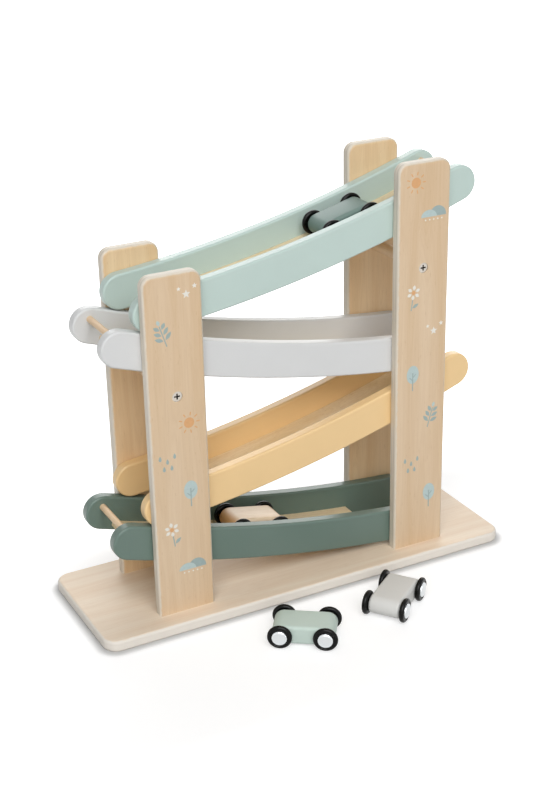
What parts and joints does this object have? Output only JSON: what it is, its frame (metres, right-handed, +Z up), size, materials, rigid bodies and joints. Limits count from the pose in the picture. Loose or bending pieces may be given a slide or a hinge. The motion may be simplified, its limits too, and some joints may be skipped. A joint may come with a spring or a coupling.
{
  "type": "wooden ramp racer toy",
  "caption": "Wooden ramp racer: curved rail ramps zigzag between flat posts on a base board, and small wooden cars with domed hub caps roll down them from ramp to ramp.",
  "frame": {"origin": "centre of the base board's underside", "axes": "+X along the base board towards the taller posts, +Y from the front to the back, +Z up"},
  "size_m": [0.305, 0.1683, 0.2852],
  "materials": {
    "base_ply": "clear satin lacquer, edges painted white",
    "post_ply": "clear satin lacquer, edges painted white",
    "mint_rail_paint": "satin paint on wood",
    "white_rail_paint": "satin paint on wood",
    "yellow_rail_paint": "satin paint on wood",
    "green_rail_paint": "satin paint on wood",
    "deck_ply": "bare plywood, sanded",
    "dowel_beech": "bare turned wood",
    "screw_steel": "zinc plated",
    "green_car_body": "satin paint on wood",
    "wood_car_body": "clear satin lacquer",
    "mint_car_body": "satin paint on wood",
    "white_car_body": "satin paint on wood",
    "wheel_plastic": "glossy black moulding",
    "cap_chrome": "bright plated",
    "axle_steel": "drawn wire"
  },
  "bodies": {
    "frame": {"base_board": "base_ply", "post_front_left": "post_ply", "post_front_right": "post_ply", "post_back_left": "post_ply", "post_back_right": "post_ply", "top_rail_front": "mint_rail_paint", "top_rail_back": "mint_rail_paint", "second_rail_front": "white_rail_paint", "second_rail_back": "white_rail_paint", "third_rail_front": "yellow_rail_paint", "third_rail_back": "yellow_rail_paint", "bottom_rail_front": "green_rail_paint", "bottom_rail_back": "green_rail_paint", "top_deck": "deck_ply", "second_deck": "deck_ply", "third_deck": "deck_ply", "bottom_deck": "deck_ply", "top_stop": "dowel_beech", "second_stop": "dowel_beech", "third_stop": "dowel_beech", "bottom_stop": "dowel_beech", "brace_left": "dowel_beech", "brace_right": "dowel_beech", "rail_pins": "dowel_beech", "post_screws": "screw_steel", "base_screws": "screw_steel"},
    "green_car": {"green_car_body": "green_car_body"},
    "green_car_front_axle_set": {"green_car_front_axle": "axle_steel", "green_car_front_wheels": "wheel_plastic", "green_car_front_caps": "cap_chrome"},
    "green_car_rear_axle_set": {"green_car_rear_axle": "axle_steel", "green_car_rear_wheels": "wheel_plastic", "green_car_rear_caps": "cap_chrome"},
    "wood_car": {"wood_car_body": "wood_car_body"},
    "wood_car_front_axle_set": {"wood_car_front_axle": "axle_steel", "wood_car_front_wheels": "wheel_plastic", "wood_car_front_caps": "cap_chrome"},
    "wood_car_rear_axle_set": {"wood_car_rear_axle": "axle_steel", "wood_car_rear_wheels": "wheel_plastic", "wood_car_rear_caps": "cap_chrome"},
    "mint_car": {"mint_car_body": "mint_car_body"},
    "mint_car_front_axle_set": {"mint_car_front_axle": "axle_steel", "mint_car_front_wheels": "wheel_plastic", "mint_car_front_caps": "cap_chrome"},
    "mint_car_rear_axle_set": {"mint_car_rear_axle": "axle_steel", "mint_car_rear_wheels": "wheel_plastic", "mint_car_rear_caps": "cap_chrome"},
    "white_car": {"white_car_body": "white_car_body"},
    "white_car_front_axle_set": {"white_car_front_axle": "axle_steel", "white_car_front_wheels": "wheel_plastic", "white_car_front_caps": "cap_chrome"},
    "white_car_rear_axle_set": {"white_car_rear_axle": "axle_steel", "white_car_rear_wheels": "wheel_plastic", "white_car_rear_caps": "cap_chrome"}
  },
  "joints": [
    {"name": "green_car_roll", "type": "hinge", "parent": "frame", "child": "green_car", "pos_m": [-0.19213, 0, 1.16242], "axis": [0, 1, 0], "range_deg": [-3.16, 6.02]},
    {"name": "green_car_front_spin", "type": "hinge", "parent": "green_car", "child": "green_car_front_axle_set", "pos_m": [0.03446, 0, 0.24133], "axis": [0, 1, 0], "continuous": true},
    {"name": "green_car_rear_spin", "type": "hinge", "parent": "green_car", "child": "green_car_rear_axle_set", "pos_m": [0.06299, 0, 0.24882], "axis": [0, 1, 0], "continuous": true},
    {"name": "wood_car_roll", "type": "hinge", "parent": "frame", "child": "wood_car", "pos_m": [0.16282, 0, 0.97064], "axis": [0, -1, 0], "range_deg": [-4.71, 4.47]},
    {"name": "wood_car_front_spin", "type": "hinge", "parent": "wood_car", "child": "wood_car_front_axle_set", "pos_m": [-0.00964, 0, 0.0379], "axis": [0, -1, 0], "continuous": true},
    {"name": "wood_car_rear_spin", "type": "hinge", "parent": "wood_car", "child": "wood_car_rear_axle_set", "pos_m": [-0.03856, 0, 0.04371], "axis": [0, -1, 0], "continuous": true},
    {"name": "mint_car_roll", "type": "slide", "parent": "frame", "child": "mint_car", "axis": [0.8151, -0.5793, 0], "range_m": [-0.025, 0.03]},
    {"name": "mint_car_front_spin", "type": "hinge", "parent": "mint_car", "child": "mint_car_front_axle_set", "pos_m": [-0.02168, -0.10214, 0.00815], "axis": [0.5793, 0.8151, 0], "continuous": true},
    {"name": "mint_car_rear_spin", "type": "hinge", "parent": "mint_car", "child": "mint_car_rear_axle_set", "pos_m": [-0.04572, -0.08506, 0.00815], "axis": [0.5793, 0.8151, 0], "continuous": true},
    {"name": "white_car_roll", "type": "slide", "parent": "frame", "child": "white_car", "axis": [0.8028, 0.5962, 0], "range_m": [-0.006, 0.018]},
    {"name": "white_car_front_spin", "type": "hinge", "parent": "white_car", "child": "white_car_front_axle_set", "pos_m": [0.04904, -0.08021, 0.00815], "axis": [-0.5962, 0.8028, 0], "continuous": true},
    {"name": "white_car_rear_spin", "type": "hinge", "parent": "white_car", "child": "white_car_rear_axle_set", "pos_m": [0.02536, -0.09779, 0.00815], "axis": [-0.5962, 0.8028, 0], "continuous": true}
  ],
  "couplings": [
    {"joint": "green_car_front_spin", "follows": "green_car_roll", "ratio": -117.42},
    {"joint": "green_car_rear_spin", "follows": "green_car_roll", "ratio": -117.42},
    {"joint": "wood_car_front_spin", "follows": "wood_car_roll", "ratio": -117.42},
    {"joint": "wood_car_rear_spin", "follows": "wood_car_roll", "ratio": -117.42},
    {"joint": "mint_car_front_spin", "follows": "mint_car_roll", "rad_per_m": 122.7},
    {"joint": "mint_car_rear_spin", "follows": "mint_car_roll", "rad_per_m": 122.7},
    {"joint": "white_car_front_spin", "follows": "white_car_roll", "rad_per_m": 122.7},
    {"joint": "white_car_rear_spin", "follows": "white_car_roll", "rad_per_m": 122.7}
  ]
}
